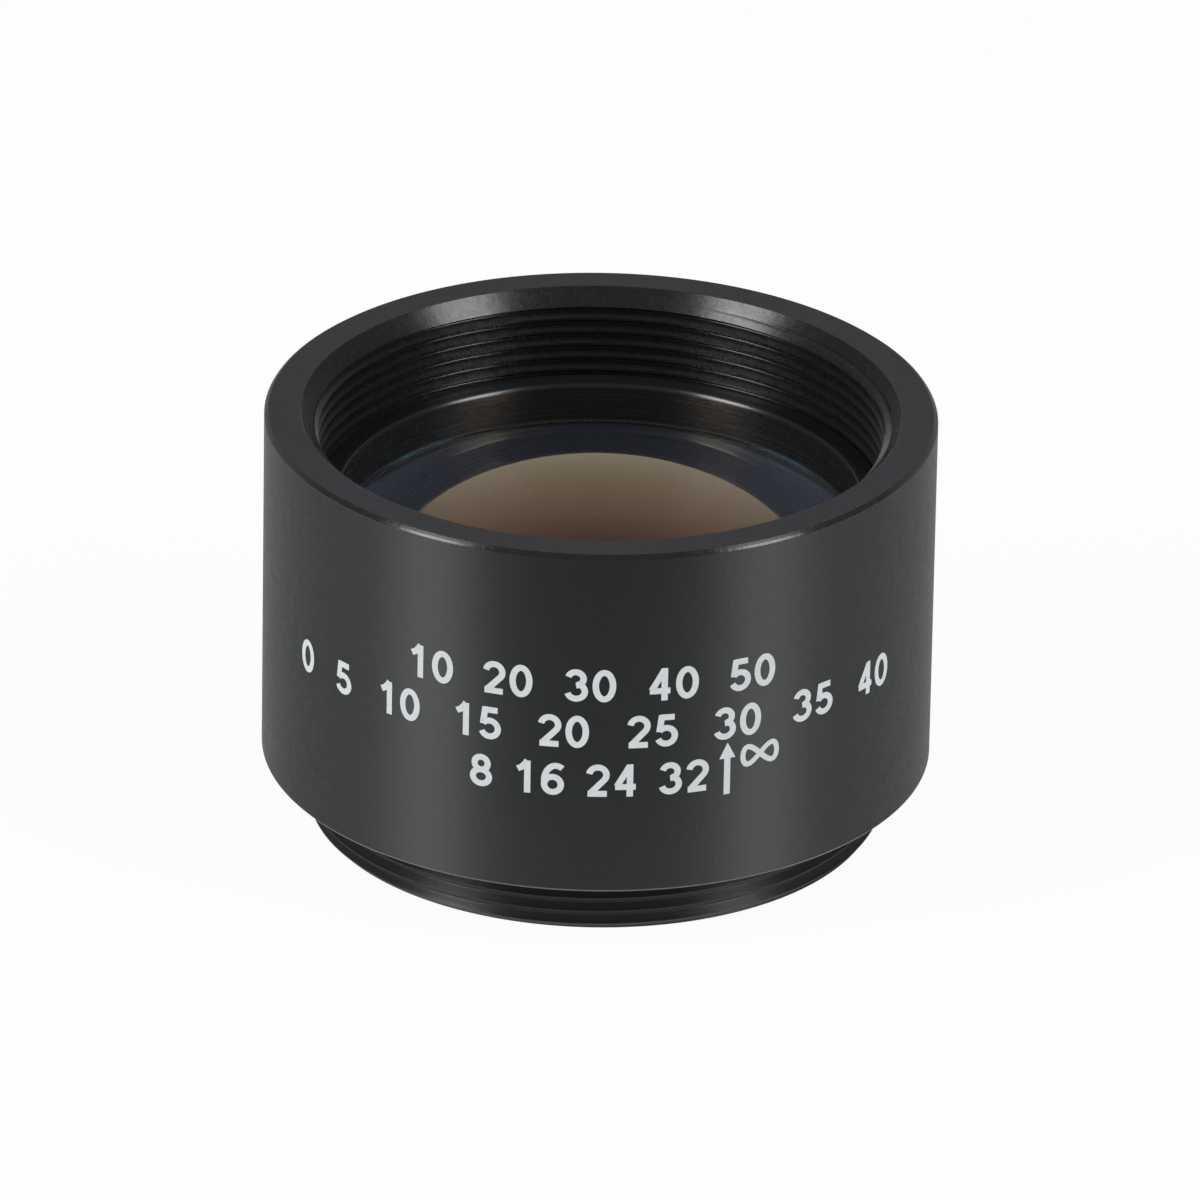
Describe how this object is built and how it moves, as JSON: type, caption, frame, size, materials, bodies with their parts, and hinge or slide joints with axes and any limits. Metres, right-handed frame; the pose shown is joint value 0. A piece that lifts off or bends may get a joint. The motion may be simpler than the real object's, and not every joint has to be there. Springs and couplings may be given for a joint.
{
  "type": "achromatic doublet lens",
  "caption": "Mounted achromatic doublet: a cemented crown and flint pair in a black threaded lens cell, held on its seat by a slotted retaining ring.",
  "frame": {"origin": "centre of the bottom face, at the end of the outside thread", "axes": "+Z along the optical axis, from the flint side up to the mouth on the crown side; -Y towards the marked side of the barrel"},
  "size_m": [0.0305, 0.0304, 0.0197],
  "materials": {
    "cell_black": "satin black anodised, bead blasted",
    "ring_black": "satin black anodised, with fine turning lines",
    "crown_glass": "polished and coated against reflection, with ground edges",
    "flint_glass": "polished and coated against reflection, with ground edges"
  },
  "bodies": {
    "root": {"lens_cell": "cell_black", "retaining_ring": "ring_black", "crown_element": "crown_glass", "flint_element": "flint_glass"}
  },
  "joints": []
}
